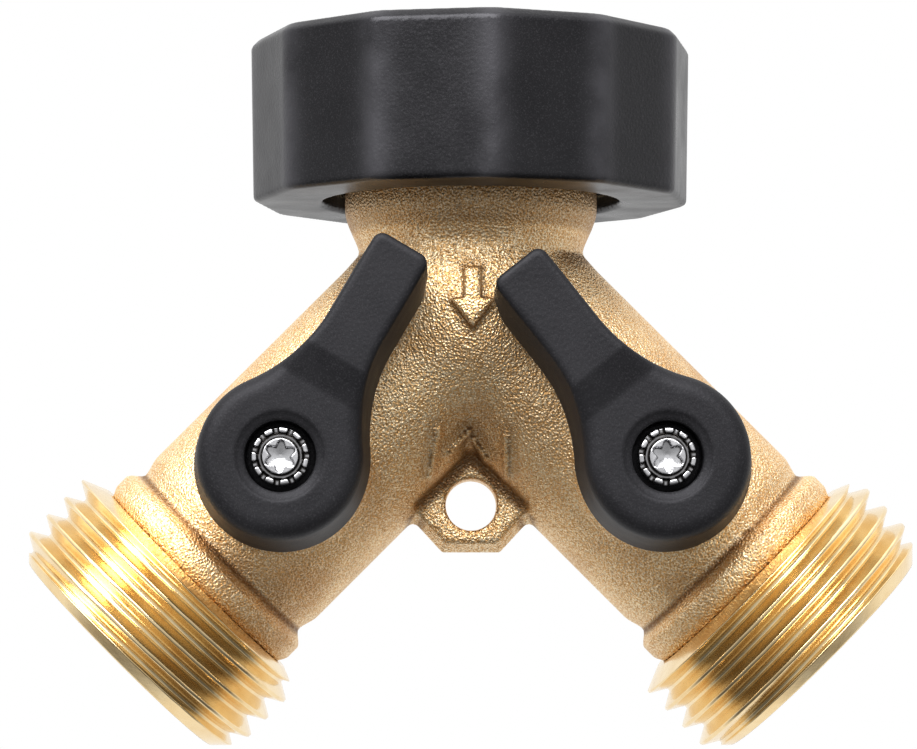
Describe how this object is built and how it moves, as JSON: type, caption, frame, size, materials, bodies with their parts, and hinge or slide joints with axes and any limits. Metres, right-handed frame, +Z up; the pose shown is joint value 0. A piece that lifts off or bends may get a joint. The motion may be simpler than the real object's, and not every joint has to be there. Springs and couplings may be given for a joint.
{
  "type": "hose splitter",
  "caption": "Y-shaped brass garden hose splitter with a twelve-sided swivel inlet nut, a quarter-turn ball valve with a lever on each leg, threaded outlets and a hanging lug.",
  "frame": {"origin": "centre of the inlet sealing plane, the top of the hose washer inside the swivel nut", "axes": "+Z up the inlet axis toward the tap, +X across the two outlets, handles facing -Y"},
  "size_m": [0.0797, 0.043, 0.0639],
  "materials": {
    "valve_body": "sandblasted cast brass, bright machined threads",
    "nut_grip": "fine grained satin black plastic",
    "nut_insert": "machined brass",
    "nut_snap_ring": "spring steel",
    "inlet_washer": "black rubber",
    "ball_chrome": "polished chrome plate",
    "seat_ptfe": "white PTFE",
    "retainer_brass": "machined brass",
    "stem_brass": "machined brass",
    "stem_o_ring": "black rubber",
    "handle_plastic": "fine grained satin black plastic",
    "screw_steel": "zinc plated steel"
  },
  "bodies": {
    "valve_body": {"valve_body": "valve_body", "nut_snap_ring": "nut_snap_ring", "inlet_washer": "inlet_washer", "left_inner_seat": "seat_ptfe", "left_outer_seat": "seat_ptfe", "left_seat_retainer": "retainer_brass", "right_inner_seat": "seat_ptfe", "right_outer_seat": "seat_ptfe", "right_seat_retainer": "retainer_brass"},
    "swivel_nut": {"nut_grip": "nut_grip", "nut_insert": "nut_insert"},
    "left_handle": {"left_handle": "handle_plastic", "left_handle_screw": "screw_steel", "left_handle_lock_washer": "screw_steel", "left_stem": "stem_brass", "left_stem_thrust_washer": "seat_ptfe", "left_stem_o_ring_inner": "stem_o_ring", "left_stem_o_ring_outer": "stem_o_ring"},
    "left_ball": {"left_ball": "ball_chrome"},
    "right_handle": {"right_handle": "handle_plastic", "right_handle_screw": "screw_steel", "right_handle_lock_washer": "screw_steel", "right_stem": "stem_brass", "right_stem_thrust_washer": "seat_ptfe", "right_stem_o_ring_inner": "stem_o_ring", "right_stem_o_ring_outer": "stem_o_ring"},
    "right_ball": {"right_ball": "ball_chrome"}
  },
  "joints": [
    {"name": "nut_swivel", "type": "hinge", "parent": "valve_body", "child": "swivel_nut", "pos_m": [0, 0, 0], "axis": [0, 0, 1], "continuous": true},
    {"name": "left_handle_turn", "type": "hinge", "parent": "valve_body", "child": "left_handle", "pos_m": [-0.01644, 0, -0.03218], "axis": [0, 1, 0], "range_deg": [-81.5, 8.5]},
    {"name": "left_ball_turn", "type": "hinge", "parent": "valve_body", "child": "left_ball", "pos_m": [-0.01644, 0, -0.03218], "axis": [0, 1, 0], "range_deg": [-82.5, 9.5]},
    {"name": "right_handle_turn", "type": "hinge", "parent": "valve_body", "child": "right_handle", "pos_m": [0.01644, 0, -0.03218], "axis": [0, 1, 0], "range_deg": [-0.7, 89.3]},
    {"name": "right_ball_turn", "type": "hinge", "parent": "valve_body", "child": "right_ball", "pos_m": [0.01644, 0, -0.03218], "axis": [0, 1, 0], "range_deg": [-1.7, 90.3]}
  ],
  "couplings": [
    {"joint": "left_ball_turn", "follows": "left_handle_turn", "ratio": 1},
    {"joint": "right_ball_turn", "follows": "right_handle_turn", "ratio": 1}
  ]
}
